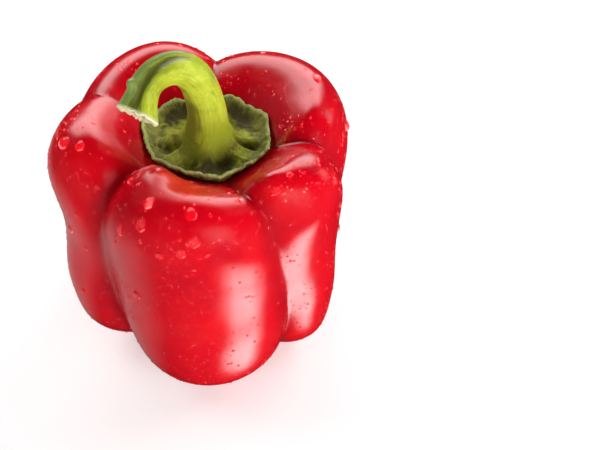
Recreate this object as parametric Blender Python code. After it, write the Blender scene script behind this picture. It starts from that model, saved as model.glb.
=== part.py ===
"""A bell pepper as picked: the hollow-shouldered, five-lobed fruit, the green calyx that sits
in the pit between its shoulders, and the thick stem that hooks over and ends in a flared cut.

Run it with blender --background --python part.py. Lengths are in metres, +Z is up, and the
origin is on the table under the middle of the whole pepper.
"""

import math

import bmesh
import bpy
from mathutils import Matrix, Vector

MM = 0.001

# The fruit. Its axis runs up the middle of the pit, and heights are above the table.
CALYX_SEAT = 80.0 * MM      # floor of the pit that the calyx sits in
BLOSSOM_DIMPLE = 9.0 * MM   # underside, on the axis
FLAT_SPOT = 0.8 * MM        # how far the longest lobes are pressed flat where they rest
VALLEY_ROUNDING = 0.18      # 0 makes the furrows between lobes knife sharp
LOBE_SQUARENESS = 0.65      # under 1 flattens a lobe's back and steepens its sides
ROUNDER_WAIST = 0.3         # added to it half way down, where the lobes are rounder

# Stretches of the way from the pit to the underside, as the share at the middle and the spread.
SHOULDER = (0.33, 0.14)
HALF_WAY = (0.55, 0.12)
NARROW_WAIST = (0.55, 0.06)
TIP = (0.8, 0.12)
PIT_WALL = 0.35             # the share by which every outline has left the pit
PIT_STEPS = 70              # steps in which the calyx feels its way up the pit

# Half outlines of the fruit as (radius, height), from the pit over the shoulder to the underside.
CREST_OUTLINE = (
    (0.0, 80.0), (8.0, 80.0), (15.0, 81.3), (21.5, 85.2), (29.0, 90.3), (37.5, 93.7),
    (45.3, 90.2), (50.0, 79.0), (48.8, 62.0), (47.0, 46.0), (45.8, 28.0), (41.0, 10.0),
    (29.0, 0.5), (16.0, 3.5), (7.0, 8.5), (0.0, 9.0),
)
VALLEY_OUTLINE = (
    (0.0, 80.0), (8.0, 80.0), (14.0, 80.6), (19.5, 82.0), (26.0, 83.5), (33.0, 83.0),
    (39.0, 78.5), (42.0, 69.0), (41.5, 56.0), (39.0, 42.0), (36.0, 28.0), (30.0, 16.0),
    (20.0, 10.5), (13.0, 9.5), (7.0, 9.2), (0.0, 9.0),
)

# Each lobe runs from its furrow's azimuth to the next lobe's. The furrow turns by drift on its way
# down, and cuts in by depth times the gap between the two outlines, at the shoulder and at the tip.
# Width scales the lobe's reach from the axis, raise and lift move its shoulder and its tip, and
# waist draws it in above its foot.
LOBES = (
    {   # back right
        "furrow": -8, "drift": 12, "depth": (0.9, 1.0),
        "width": 1.05, "raise": 1.5, "lift": 0.0, "waist": 0.0,
    },
    {   # back left
        "furrow": 87, "drift": 0, "depth": (0.6, 1.0),
        "width": 1.03, "raise": 3.5, "lift": 0.0, "waist": 0.5,
    },
    {   # left
        "furrow": 161, "drift": 0, "depth": (0.0, 1.1),
        "width": 1.07, "raise": 3.5, "lift": 4.0, "waist": 2.2,
    },
    {   # front
        "furrow": 218, "drift": 0, "depth": (1.0, 1.0),
        "width": 1.0, "raise": -0.5, "lift": 0.0, "waist": 0.0,
    },
    {   # right
        "furrow": 286, "drift": 38, "depth": (1.0, 0.6),
        "width": 0.98, "raise": 0.0, "lift": 1.0, "waist": 0.8,
    },
)
# Where the shoulders stand highest: (azimuth in degrees, radius, extra height and spread in mm).
CROWNS = ((237.0, 28.0, 5.8, 8.3), (303.0, 36.0, 4.2, 8.0), (5.0, 36.0, 2.8, 9.0))
CROWNS_BEGIN = (0.18, 0.26)   # shares of the way from the pit over which they come in
CROWNS_END = (0.38, 0.47)     # and over which they fade again
COLUMNS_PER_LOBE = 14
ROWS = 44

# The calyx: a crinkled cup with an upturned rim and seven blunt corners.
CALYX_GAP = 0.4 * MM        # clearance over the pit
CALYX_CORNERS = (           # (azimuth in degrees, radius in mm)
    (29.0, 22.4), (68.0, 21.6), (122.0, 21.6), (163.0, 22.8),
    (213.0, 20.4), (283.0, 21.6), (340.0, 21.7),
)
CALYX_EDGE_DIP = 1.6 * MM   # how far the rim between two corners is drawn in
CALYX_EDGE_CURVE = 0.7      # under 1 makes the corners sharper
CALYX_LEAST = 1.2 * MM      # the calyx is never thinner than this
CALYX_TOP = (               # (share of the rim's radius, height above the pit's floor in mm)
    (0.34, 9.0), (0.42, 5.6), (0.55, 3.4), (0.70, 2.6), (0.82, 3.6), (0.93, 6.4), (1.0, 6.2),
)
CALYX_COLUMNS = 56
CALYX_ROWS = 10

# The stem: a centreline in (x, y, height above the pit's floor) and the radius along it, in mm.
STEM_GAP = 0.3 * MM
STEM_PATH = (
    (0.3, 0.0, 9.0), (0.6, 0.1, 16.0), (-0.6, -0.1, 24.5), (-3.4, -0.9, 32.6), (-8.4, -2.4, 37.7),
    (-14.0, -4.4, 37.7), (-18.3, -6.4, 34.3), (-20.4, -8.8, 29.7), (-21.5, -11.5, 25.1),
)
STEM_RADII = (7.6, 6.6, 6.1, 5.9, 5.6, 5.4, 5.2, 5.6, 7.2)
CUT_LEAN = Vector((0.3, 0.35, 0.0))   # slope of the cut end, which is longer to the right and back
CUT_SHARE = 0.8             # share of the stem's length from which it leans into that slope
STEM_SIDES = 24
STEM_RINGS = 40


def smooth_curve(points, share):
    """The point at share, from 0 to 1, along a Catmull-Rom curve through the points."""
    spans = len(points) - 1
    along = min(max(share, 0.0), 1.0) * spans
    first = min(int(along), spans - 1)
    t = along - first
    before = points[max(first - 1, 0)]
    start = points[first]
    end = points[first + 1]
    after = points[min(first + 2, spans)]
    return tuple(
        0.5 * (2 * b + (c - a) * t + (2 * a - 5 * b + 4 * c - d) * t**2 + (3 * b - a - 3 * c + d) * t**3)
        for a, b, c, d in zip(before, start, end, after)
    )


def ease(share):
    """Share, starting and ending gently."""
    return share * share * (3 - 2 * share)


def mix(start, end, share):
    return start + (end - start) * share


def within(stretch, share):
    """A smooth hill over a stretch: 1 at its middle and gone a few spreads away."""
    middle, spread = stretch
    return math.exp(-(((share - middle) / spread) ** 2))


def passed(stretch, share):
    """From 0 before a stretch to 1 after it."""
    start, end = stretch
    return ease(min(max((share - start) / (end - start), 0.0), 1.0))


def crown_height(radius, azimuth, share):
    """Extra height in mm at a radius in mm and an azimuth in radians."""
    spot = Vector((radius * math.cos(azimuth), radius * math.sin(azimuth)))
    height = 0.0
    for crown_azimuth, crown_radius, rise, spread in CROWNS:
        turn = math.radians(crown_azimuth)
        crown = Vector((crown_radius * math.cos(turn), crown_radius * math.sin(turn)))
        height += rise * math.exp(-(((spot - crown).length / spread) ** 2))
    return height * passed(CROWNS_BEGIN, share) * (1 - passed(CROWNS_END, share))


def lobe_swell(across, share):
    """1 on a lobe's crest and 0 in its furrows, for across from 0 to 1 over the lobe."""
    squareness = LOBE_SQUARENESS + ROUNDER_WAIST * within(HALF_WAY, share)
    rise = math.sin(math.pi * across) ** squareness
    e = VALLEY_ROUNDING
    return (math.hypot(rise, e) - e) / (math.hypot(1.0, e) - e)


def furrow_azimuth(number, share):
    """The azimuth of the furrow before lobe number, in degrees, at share of the way down."""
    lobe = LOBES[number % len(LOBES)]
    turns = number // len(LOBES)
    return lobe["furrow"] + 360.0 * turns + lobe["drift"] * ease(share)


def furrow_depth(lobe, share):
    """How far the furrow before a lobe cuts in, as a share of the gap between the outlines."""
    at_shoulder, at_tip = lobe["depth"]
    return mix(at_shoulder, at_tip, ease(share))


def fruit_point(number, across, share):
    """A point of the skin: lobe number, across it from 0 to 1, and share from the pit to the underside."""
    lobe = LOBES[number]
    before = LOBES[number - 1]
    after = LOBES[(number + 1) % len(LOBES)]

    def at_furrow(trait):
        """The trait at the furrow nearby, half way between the lobes that it parts."""
        return lobe[trait] + mix(before[trait] - lobe[trait], after[trait] - lobe[trait], across) / 2

    crest_radius, crest_height = smooth_curve(CREST_OUTLINE, share)
    valley_radius, valley_height = smooth_curve(VALLEY_OUTLINE, share)
    depth = mix(furrow_depth(lobe, share), furrow_depth(after, share), ease(across))
    valley_radius = mix(crest_radius, valley_radius, depth) * at_furrow("width")
    valley_height = mix(crest_height, valley_height, depth)
    crest_radius = crest_radius * lobe["width"] - lobe["waist"] * within(NARROW_WAIST, share)
    shoulder = within(SHOULDER, share)
    valley_height += at_furrow("raise") * shoulder
    crest_height += lobe["raise"] * shoulder + lobe["lift"] * within(TIP, share)
    swell = lobe_swell(across, share)
    radius = mix(valley_radius, crest_radius, swell)
    height = mix(valley_height, crest_height, swell)
    start = furrow_azimuth(number, share)
    azimuth = math.radians(mix(start, furrow_azimuth(number + 1, share), across))
    height += crown_height(radius, azimuth, share)
    return Vector((radius * MM * math.cos(azimuth), radius * MM * math.sin(azimuth), height * MM))


def closed_grid(mesh, rings, first_tip, last_tip):
    """Skins rings of points into one closed surface, with a fan of triangles onto each tip."""
    rows = [[mesh.verts.new(point) for point in ring] for ring in rings]
    for upper, lower in zip(rows, rows[1:]):
        for i in range(len(upper)):
            j = (i + 1) % len(upper)
            mesh.faces.new((upper[i], lower[i], lower[j], upper[j]))
    for tip_point, ring, turn in ((first_tip, rows[0], 1), (last_tip, rows[-1], -1)):
        tip = mesh.verts.new(tip_point)
        for i in range(len(ring)):
            j = (i + 1) % len(ring)
            mesh.faces.new((tip, ring[i], ring[j])[::turn])
    bmesh.ops.recalc_face_normals(mesh, faces=mesh.faces)


def new_piece(name, mesh, material):
    """Puts a finished bmesh into the scene as one smooth-shaded object."""
    data = bpy.data.meshes.new(name)
    mesh.to_mesh(data)
    mesh.free()
    data.shade_smooth()
    data.materials.append(material)
    piece = bpy.data.objects.new(name, data)
    bpy.context.scene.collection.objects.link(piece)
    return piece


def new_material(name, colour, roughness):
    material = bpy.data.materials.new(name)
    material.use_nodes = True
    shader = material.node_tree.nodes["Principled BSDF"]
    shader.inputs["Base Color"].default_value = (*colour, 1.0)
    shader.inputs["Roughness"].default_value = roughness
    shader.inputs["Metallic"].default_value = 0.0
    return material


def make_fruit():
    """The fleshy fruit, pressed flat at the spots that it rests on."""
    mesh = bmesh.new()
    rings = []
    for row in range(1, ROWS):
        ring = [
            fruit_point(number, column / COLUMNS_PER_LOBE, row / ROWS)
            for number in range(len(LOBES))
            for column in range(COLUMNS_PER_LOBE)
        ]
        rings.append(ring)
    closed_grid(mesh, rings, Vector((0, 0, CALYX_SEAT)), Vector((0, 0, BLOSSOM_DIMPLE)))
    table = min(vertex.co.z for vertex in mesh.verts) + FLAT_SPOT
    for vertex in mesh.verts:
        vertex.co.z = max(vertex.co.z, table)
    return new_piece("fruit", mesh, new_material("red_skin", (0.55, 0.01, 0.012), 0.22))


def pit_height(radius, azimuth):
    """How high the skin is at a radius inside the shoulders, at an azimuth in degrees."""
    starts = [furrow_azimuth(number, PIT_WALL / 2) for number in range(len(LOBES) + 1)]
    turned = starts[0] + (azimuth - starts[0]) % 360.0
    number = max(n for n in range(len(LOBES)) if starts[n] <= turned)
    across = (turned - starts[number]) / (starts[number + 1] - starts[number])
    skin = [fruit_point(number, across, PIT_WALL * n / PIT_STEPS) for n in range(PIT_STEPS)]
    return max(point.z for point in skin if math.hypot(point.x, point.y) <= radius)


def rim_radius(azimuth):
    """The calyx's outer radius at an azimuth in degrees: out at its corners, drawn in between them."""
    corners = len(CALYX_CORNERS)
    for n in range(corners):
        here, radius = CALYX_CORNERS[n]
        there, next_radius = CALYX_CORNERS[(n + 1) % corners]
        span = (there - here) % 360.0
        past = (azimuth - here) % 360.0
        if past <= span:
            share = past / span
            blended = radius + (next_radius - radius) * share
            return blended * MM - CALYX_EDGE_DIP * math.sin(math.pi * share) ** CALYX_EDGE_CURVE
    raise ValueError("no corner pair holds this azimuth")


def calyx_point(azimuth, share_out, under):
    """A point of the calyx's top, or of its underside, which follows the pit at a small clearance."""
    first_share = CALYX_TOP[0][0]
    reach = first_share + (1.0 - first_share) * share_out
    radius = rim_radius(azimuth) * reach
    seat = pit_height(radius, azimuth) + CALYX_GAP
    height = seat
    if not under:
        above = smooth_curve(CALYX_TOP, share_out)[1] * MM + CALYX_SEAT
        height = max(above, seat + CALYX_LEAST)
    turn = math.radians(azimuth)
    return Vector((radius * math.cos(turn), radius * math.sin(turn), height))


def make_calyx():
    mesh = bmesh.new()
    azimuths = [360.0 * n / CALYX_COLUMNS for n in range(CALYX_COLUMNS)]
    shares = [n / CALYX_ROWS for n in range(CALYX_ROWS + 1)]
    top = [[calyx_point(azimuth, share, False) for azimuth in azimuths] for share in shares]
    bottom = [[calyx_point(azimuth, share, True) for azimuth in azimuths] for share in reversed(shares)]
    neck = Vector((0, 0, CALYX_SEAT + CALYX_TOP[0][1] * MM))
    foot = Vector((0, 0, CALYX_SEAT + CALYX_GAP))
    closed_grid(mesh, top + bottom, neck, foot)
    return new_piece("calyx", mesh, new_material("calyx_green", (0.1, 0.17, 0.03), 0.55))


def make_stem():
    """The stem, a tube of changing radius along its bent centreline, closed by its cut end."""
    mesh = bmesh.new()
    centres = []
    radii = []
    for n in range(STEM_RINGS + 1):
        share = n / STEM_RINGS
        x, y, z = smooth_curve(STEM_PATH, share)
        centres.append(Vector((x * MM, y * MM, z * MM + CALYX_SEAT + STEM_GAP)))
        radii.append(smooth_curve([(radius,) for radius in STEM_RADII], share)[0] * MM)
    side = Vector((0, 1, 0))
    rings = []
    for n, centre in enumerate(centres):
        ahead = centres[min(n + 1, STEM_RINGS)] - centres[max(n - 1, 0)]
        if n == 0:
            ahead = Vector((0, 0, 1))
        ahead.normalize()
        side = (side - ahead * side.dot(ahead)).normalized()
        across = ahead.cross(side)
        lean = CUT_LEAN * ease(max(n / STEM_RINGS - CUT_SHARE, 0.0) / (1 - CUT_SHARE))
        ring = []
        for k in range(STEM_SIDES):
            turn = 2 * math.pi * k / STEM_SIDES
            outwards = (side * math.cos(turn) + across * math.sin(turn)) * radii[n]
            ring.append(centre + outwards + ahead * lean.dot(outwards))
        rings.append(ring)
    closed_grid(mesh, rings, centres[0], centres[-1])
    return new_piece("stem", mesh, new_material("stem_green", (0.3, 0.42, 0.04), 0.45))


def stand_on_origin(pieces):
    """Moves the pieces together so that the origin is on the table under their middle."""
    corners = [vertex.co for piece in pieces for vertex in piece.data.vertices]
    lowest = Vector(min(corner[axis] for corner in corners) for axis in range(3))
    highest = Vector(max(corner[axis] for corner in corners) for axis in range(3))
    middle = (lowest + highest) / 2
    shift = Matrix.Translation(Vector((-middle.x, -middle.y, -lowest.z)))
    for piece in pieces:
        piece.data.transform(shift)


def main():
    for old in list(bpy.data.objects):
        bpy.data.objects.remove(old)
    stand_on_origin([make_fruit(), make_calyx(), make_stem()])


main()
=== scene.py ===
import math
import random

import bpy
from mathutils import Matrix, Vector, noise
from mathutils.bvhtree import BVHTree


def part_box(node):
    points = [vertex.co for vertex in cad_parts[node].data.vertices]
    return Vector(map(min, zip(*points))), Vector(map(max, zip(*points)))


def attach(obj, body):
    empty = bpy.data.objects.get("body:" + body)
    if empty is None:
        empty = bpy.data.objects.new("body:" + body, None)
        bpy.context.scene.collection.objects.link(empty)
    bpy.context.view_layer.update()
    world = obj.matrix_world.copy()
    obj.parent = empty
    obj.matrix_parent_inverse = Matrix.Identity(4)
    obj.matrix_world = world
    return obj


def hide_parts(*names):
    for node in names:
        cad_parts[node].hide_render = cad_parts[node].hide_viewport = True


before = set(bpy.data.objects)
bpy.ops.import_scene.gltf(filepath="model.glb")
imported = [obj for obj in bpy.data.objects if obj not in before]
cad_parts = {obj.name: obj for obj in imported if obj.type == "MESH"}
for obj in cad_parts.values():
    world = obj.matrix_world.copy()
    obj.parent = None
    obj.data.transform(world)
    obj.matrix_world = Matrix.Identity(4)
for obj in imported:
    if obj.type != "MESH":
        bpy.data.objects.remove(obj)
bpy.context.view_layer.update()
mm = 0.001
print("frame loaded:", ", ".join(sorted(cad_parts)))


# ---- small helpers for shapes

def mix(start, end, share):
    return start + (end - start) * share


def ease(share):
    share = min(max(share, 0.0), 1.0)
    return share * share * (3 - 2 * share)


def hill(value, middle, spread):
    return math.exp(-(((value - middle) / spread) ** 2))


def smoothMax(a, b, blend):
    return (a + b + math.hypot(a - b, blend)) / 2


def curveAt(points, share):
    # Catmull-Rom through the points, share from 0 to 1
    spans = len(points) - 1
    along = min(max(share, 0.0), 1.0) * spans
    i = min(int(along), spans - 1)
    t = along - i
    four = points[max(i - 1, 0)], points[i], points[i + 1], points[min(i + 2, spans)]
    return tuple(
        0.5 * (2 * b + (c - a) * t + (2 * a - 5 * b + 4 * c - d) * t**2 + (3 * b - a - 3 * c + d) * t**3)
        for a, b, c, d in zip(*four)
    )


def polar(radius, azimuth, height):
    turn = math.radians(azimuth)
    return Vector((radius * math.cos(turn), radius * math.sin(turn), height))


def turnGap(a, b):
    # degrees between two azimuths, from -180 to 180
    return (a - b + 180.0) % 360.0 - 180.0


def putIn(name, data):
    thing = bpy.data.objects.new(name, data)
    bpy.context.scene.collection.objects.link(thing)
    return thing


def skinRings(name, rings, firstTip, lastTip, marks):
    # one closed smooth mesh; marks are (name, values ring by ring, value at each tip)
    points = [firstTip] + [point for ring in rings for point in ring] + [lastTip]
    count = len(rings[0])
    last = len(points) - 1
    faces = []
    for i in range(count):
        j = (i + 1) % count
        faces.append((0, 1 + i, 1 + j))
        faces.append((last, last - count + j, last - count + i))
    for row in range(len(rings) - 1):
        start = 1 + row * count
        for i in range(count):
            j = (i + 1) % count
            faces.append((start + i, start + count + i, start + count + j, start + j))
    mesh = bpy.data.meshes.new(name)
    mesh.from_pydata(points, [], faces)
    for mark, values, tips in marks:
        attribute = mesh.attributes.new(mark, "FLOAT", "POINT")
        attribute.data.foreach_set("value", [tips[0], *(v for ring in values for v in ring), tips[1]])
    mesh.shade_smooth()
    return putIn(name, mesh)


# ---- the fruit

fruit = {
    "crest": (
        (0.0, 80.0), (8.0, 80.0), (15.0, 81.3), (21.5, 85.2), (29.0, 90.3), (37.5, 93.7),
        (45.3, 90.2), (50.0, 79.0), (48.8, 62.0), (47.0, 46.0), (45.8, 28.0), (41.0, 10.0),
        (29.0, 0.5), (16.0, 3.5), (7.0, 8.5), (0.0, 9.0),
    ),
    "valley": (
        (0.0, 80.0), (8.0, 80.0), (14.0, 80.6), (19.5, 82.0), (26.0, 83.5), (33.0, 83.0),
        (39.0, 78.5), (42.0, 69.0), (41.5, 56.0), (39.0, 42.0), (36.0, 28.0), (30.0, 16.0),
        (20.0, 10.5), (13.0, 9.5), (7.0, 9.2), (0.0, 9.0),
    ),
    "lobes": (
        # back right, back left, left, front, right
        dict(furrow=-8, drift=12, depth=(0.9, 1.0), width=1.05, rise=1.5, lift=0.0, waist=0.0),
        dict(furrow=87, drift=0, depth=(0.6, 1.0), width=1.03, rise=3.5, lift=0.0, waist=0.5),
        dict(furrow=161, drift=0, depth=(0.0, 1.1), width=1.07, rise=3.5, lift=4.0, waist=2.2),
        dict(furrow=218, drift=0, depth=(1.0, 1.0), width=1.0, rise=-0.5, lift=0.0, waist=0.0),
        dict(furrow=286, drift=38, depth=(1.0, 0.6), width=0.98, rise=0.0, lift=1.0, waist=0.8),
    ),
    # where the shoulders stand highest: azimuth, radius, extra height and spread
    "crowns": ((237.0, 28.0, 5.8, 8.3), (303.0, 36.0, 4.2, 8.0), (5.0, 36.0, 2.8, 9.0)),
    "crownsBegin": (0.18, 0.26),    # shares of the way over which they come in and fade again
    "crownsEnd": (0.38, 0.47),
    "valleyRounding": 0.18,
    "squareness": 0.65,
    "rounderWaist": 0.3,
    "shoulder": (0.33, 0.14),
    "halfWay": (0.55, 0.12),
    "narrowWaist": (0.55, 0.06),
    "tip": (0.8, 0.12),
    "seat": 80.0,               # height of the pit's floor
    "dimple": 9.0,
    "columnsPerLobe": 66,
    "rows": 230,
    "dents": (0.5, 26.0),       # depth in mm and how many to the metre: the slow unevenness of the flesh
    "streaks": (0.035, 260.0),  # fine ribs that run from the pit down
    "pucker": (0.28, 0.2, 0.09),    # how deep the skin folds round the calyx, in mm, and where
}
lobes = fruit["lobes"]


def furrowAzimuth(number, share):
    lobe = lobes[number % len(lobes)]
    return lobe["furrow"] + 360.0 * (number // len(lobes)) + lobe["drift"] * ease(share)


def lobeSwell(across, share):
    # 1 on a lobe's crest, 0 in its furrows
    power = fruit["squareness"] + fruit["rounderWaist"] * hill(share, *fruit["halfWay"])
    rise = max(math.sin(math.pi * across), 0.0) ** power
    e = fruit["valleyRounding"]
    return (math.hypot(rise, e) - e) / (math.hypot(1.0, e) - e)


def crownHeight(spot, share):
    (begin, full), (fade, end) = fruit["crownsBegin"], fruit["crownsEnd"]
    height = sum(
        rise * hill((spot - polar(radius, azimuth, 0)).length, 0, spread)
        for azimuth, radius, rise, spread in fruit["crowns"]
    )
    return height * ease((share - begin) / (full - begin)) * ease((end - share) / (end - fade))


def fruitPoint(number, across, share):
    # lobe number, across it from 0 to 1, and share of the way from the pit to the underside, in mm
    lobe, before, after = lobes[number], lobes[number - 1], lobes[(number + 1) % len(lobes)]

    def atFurrow(trait):
        return lobe[trait] + mix(before[trait] - lobe[trait], after[trait] - lobe[trait], across) / 2

    crestRadius, crestHeight = curveAt(fruit["crest"], share)
    valleyRadius, valleyHeight = curveAt(fruit["valley"], share)
    depth = mix(mix(*lobe["depth"], ease(share)), mix(*after["depth"], ease(share)), ease(across))
    valleyRadius = mix(crestRadius, valleyRadius, depth) * atFurrow("width")
    valleyHeight = mix(crestHeight, valleyHeight, depth)
    crestRadius = crestRadius * lobe["width"] - lobe["waist"] * hill(share, *fruit["narrowWaist"])
    shoulder = hill(share, *fruit["shoulder"])
    valleyHeight += atFurrow("rise") * shoulder
    crestHeight += lobe["rise"] * shoulder + lobe["lift"] * hill(share, *fruit["tip"])
    swell = lobeSwell(across, share)
    radius = mix(valleyRadius, crestRadius, swell)
    height = mix(valleyHeight, crestHeight, swell)
    azimuth = mix(furrowAzimuth(number, share), furrowAzimuth(number + 1, share), across)
    return polar(radius, azimuth, height + crownHeight(polar(radius, azimuth, 0), share))


def unevenness(point, share):
    # how far the flesh stands out at a point, in mm; the point is in mm too
    depth, perMetre = fruit["dents"]
    slow = noise.noise(point * perMetre * mm) + 0.22 * noise.noise(point * perMetre * 2.6 * mm)
    depthFine, perMetreFine = fruit["streaks"]
    around = Vector((point.x, point.y, point.z * 0.12)) * perMetreFine * mm
    fine = noise.noise(around) * ease(share / 0.3)
    folds = 0.0
    if share < 0.5:
        pucker, at, spread = fruit["pucker"]
        azimuth = math.atan2(point.y, point.x)
        wave = noise.noise(Vector((math.cos(azimuth) * 5.5, math.sin(azimuth) * 5.5, share * 2)))
        folds = wave * pucker * hill(share, at, spread)
    return slow * depth * ease(share / 0.25) * ease((1 - share) / 0.1) + fine * depthFine + folds


def makeFruit():
    rows, columns = fruit["rows"], fruit["columnsPerLobe"]
    rings, furrowMarks, wayMarks = [], [], []
    for row in range(1, rows):
        share = row / rows
        ring, marks = [], []
        for number in range(len(lobes)):
            for column in range(columns):
                across = column / columns
                ring.append(fruitPoint(number, across, share))
                marks.append(1 - lobeSwell(across, share))
        rings.append(ring)
        furrowMarks.append(marks)
        wayMarks.append([share] * len(ring))
    top, bottom = Vector((0, 0, fruit["seat"])), Vector((0, 0, fruit["dimple"]))

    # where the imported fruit's axis stands, from the two boxes
    low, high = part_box("fruit")
    xs = [p.x for ring in rings for p in ring]
    ys = [p.y for ring in rings for p in ring]
    highest = max(p.z for ring in rings for p in ring)
    axis = Vector((
        (low.x + high.x) / 2 - (min(xs) + max(xs)) / 2 * mm,
        (low.y + high.y) / 2 - (min(ys) + max(ys)) / 2 * mm,
        high.z - highest * mm,
    ))

    # stand every point out along the way its neighbours face
    count = len(rings[0])
    shaped = []
    for row, ring in enumerate(rings):
        above = rings[row - 1] if row else [top] * count
        below = rings[row + 1] if row + 1 < len(rings) else [bottom] * count
        newRing = []
        for i, point in enumerate(ring):
            sideways = ring[(i + 1) % count] - ring[i - 1]
            outwards = (below[i] - above[i]).cross(sideways).normalized()
            newRing.append(point + outwards * unevenness(point, (row + 1) / rows))
        shaped.append(newRing)

    def place(point):
        placed = point * mm + axis
        placed.z = max(placed.z, 0.0)   # pressed flat where it rests
        return placed

    shaped = [[place(point) for point in ring] for ring in shaped]
    marks = (("furrow", furrowMarks, (0, 0)), ("way", wayMarks, (0, 1)))
    piece = skinRings("pepper_fruit", shaped, place(top), place(bottom), marks)
    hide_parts("fruit")
    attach(piece, "root")
    return piece, axis


pepperFruit, axis = makeFruit()
fruitMesh = pepperFruit.data
skinTree = BVHTree.FromPolygons(
    [vertex.co for vertex in fruitMesh.vertices], [tuple(face.vertices) for face in fruitMesh.polygons]
)
pitFloor = axis.z + fruit["seat"] * mm
print("fruit made:", len(fruitMesh.polygons), "faces")


def skinHeight(point):
    # height of the skin in mm above the pit's floor, straight below a point near the pit
    hit = skinTree.ray_cast(Vector((point.x, point.y, pitFloor + 0.05)), Vector((0, 0, -1)))[0]
    return (hit.z - pitFloor) / mm


# ---- the stem: shape of its outside, which the calyx also reads to grow out of it

stem = {
    # centreline in mm from the axis and the pit's floor
    "path": (
        (0.3, 0.0, 9.0), (0.6, 0.1, 16.0), (-0.6, -0.1, 24.5), (-3.4, -0.9, 32.6), (-8.4, -2.4, 37.7),
        (-14.0, -4.4, 37.7), (-18.3, -6.4, 34.3), (-20.4, -8.8, 29.7), (-21.5, -11.5, 25.1),
    ),
    "radii": (7.6, 6.6, 6.1, 5.9, 5.6, 5.4, 5.2, 5.6, 7.2),
    "gap": 0.3,
    "seam": 0.07,               # share along where the calyx meets it
    "cutLean": Vector((0.3, 0.35, 0.0)),
    "cutShare": 0.8,
    "sides": 120,
    "rings": 250,
    "ridges": 5,
    "ridgeTurn": 0.6,           # where round the stem the first ridge stands, in radians
    "ridgeTwist": 0.9,          # how far the ridges turn over the whole stem
    "ridgeHeight": (0.12, 0.3),    # at the foot and on the hook, in mm
    "fibre": 0.07,
    "ragged": 0.9,              # how uneven the torn end is, in mm
    "knob": (0.775, 4.95, 1.7),    # share along, turn and height of the small knob on the hook
    "knobSpread": (0.016, 0.04, 0.32),     # before it, past it and round the stem
    # how far in each ring of the torn face stands, and how deep
    "tornFace": ((0.9, -0.25), (0.78, 0.1), (0.7, 0.7), (0.5, 1.0), (0.3, 0.9), (0.12, 0.8)),
    # the long groove on the outside of the hook: share along, turn round the stem, depth in mm
    "groove": (
        (0.3, 5.2, 0.0), (0.38, 5.08, 0.15), (0.45, 4.95, 0.35), (0.51, 4.84, 0.7), (0.56, 4.7, 1.0),
        (0.61, 4.58, 1.1), (0.66, 4.45, 1.2), (0.72, 4.3, 1.3), (0.8, 4.24, 1.3), (0.9, 4.24, 1.3),
        (1.0, 4.24, 1.0),
    ),
    "grooveWidth": 0.36,        # in radians
    "dullSide": (2.25, 0.75),   # turn and spread of the side of the foot that gets painted shade, in radians
}


def turnAway(turn, middle):
    return abs(math.remainder(turn - middle, 2 * math.pi))


def grooveAt(turn, share):
    # depth of the long groove in mm, and how far out past its middle the turn lies in radians
    knots = stem["groove"]
    if share <= knots[0][0]:
        return 0.0, math.remainder(turn - knots[0][1], 2 * math.pi)
    for (here, turnHere, depthHere), (there, turnThere, depthThere) in zip(knots, knots[1:]):
        if share <= there:
            part = (share - here) / (there - here)
            past = math.remainder(turn - mix(turnHere, turnThere, part), 2 * math.pi)
            return mix(depthHere, depthThere, part) * hill(past, 0, stem["grooveWidth"]), past
    return 0.0, 0.0


def ridgeWave(turn, share):
    # from -1 in a groove to 1 on a ridge; grooves are wide and ridges narrow on the hook
    angle = stem["ridges"] * (turn - stem["ridgeTurn"]) + stem["ridges"] * stem["ridgeTwist"] * share
    wave = math.cos(angle) + 0.25 * math.cos(2 * angle) + 0.35 * noise.noise(
        Vector((math.cos(turn) * 1.3, math.sin(turn) * 1.3, share * 4))
    )
    return wave / 1.3


def ridgeAt(turn, share):
    low, high = stem["ridgeHeight"]
    return ridgeWave(turn, share) * mix(low, high, ease((share - 0.25) / 0.35))


# ---- the calyx

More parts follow.
